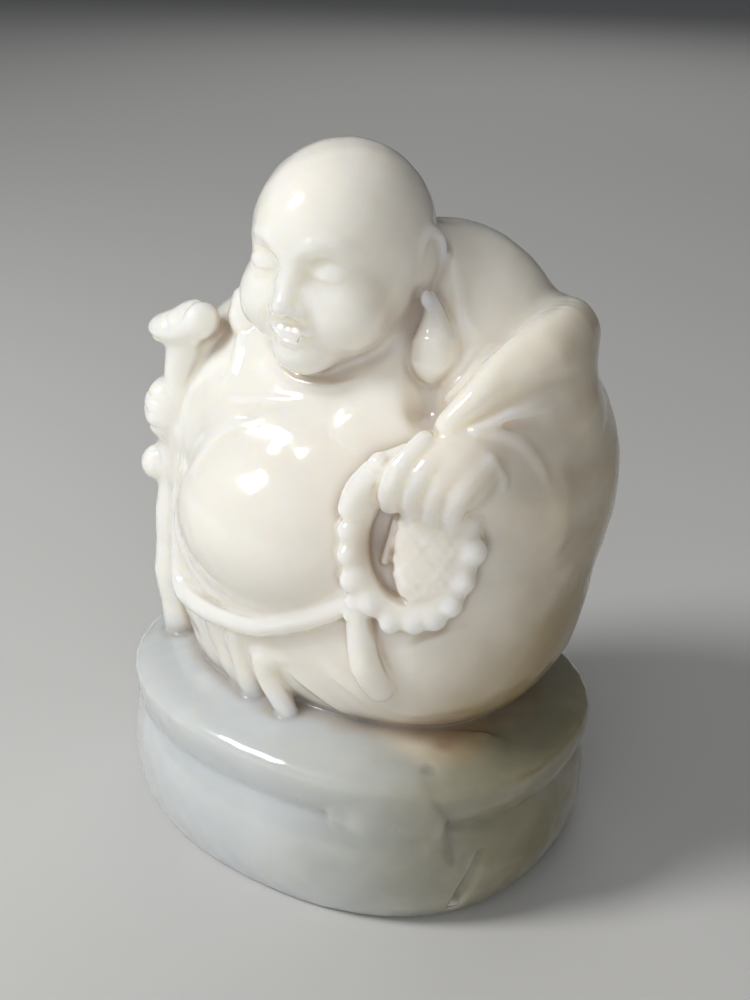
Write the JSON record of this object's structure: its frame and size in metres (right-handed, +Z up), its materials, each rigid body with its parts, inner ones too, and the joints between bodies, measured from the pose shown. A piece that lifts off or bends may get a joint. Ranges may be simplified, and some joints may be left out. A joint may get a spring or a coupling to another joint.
{
  "type": "budai figure",
  "caption": "Seated monk ornament with bare belly, string of beads and sceptre, carved in one block with its round-edged two-tier oval plinth.",
  "frame": {"origin": "middle of the plinth's flat underside", "axes": "+Z up through the figure, -Y the way the figure faces, +X the figure's left"},
  "size_m": [0.107, 0.0886, 0.1547],
  "materials": {
    "stone": "polished, slightly translucent white stone"
  },
  "bodies": {
    "root": {"figure_on_plinth": "stone"}
  },
  "joints": []
}
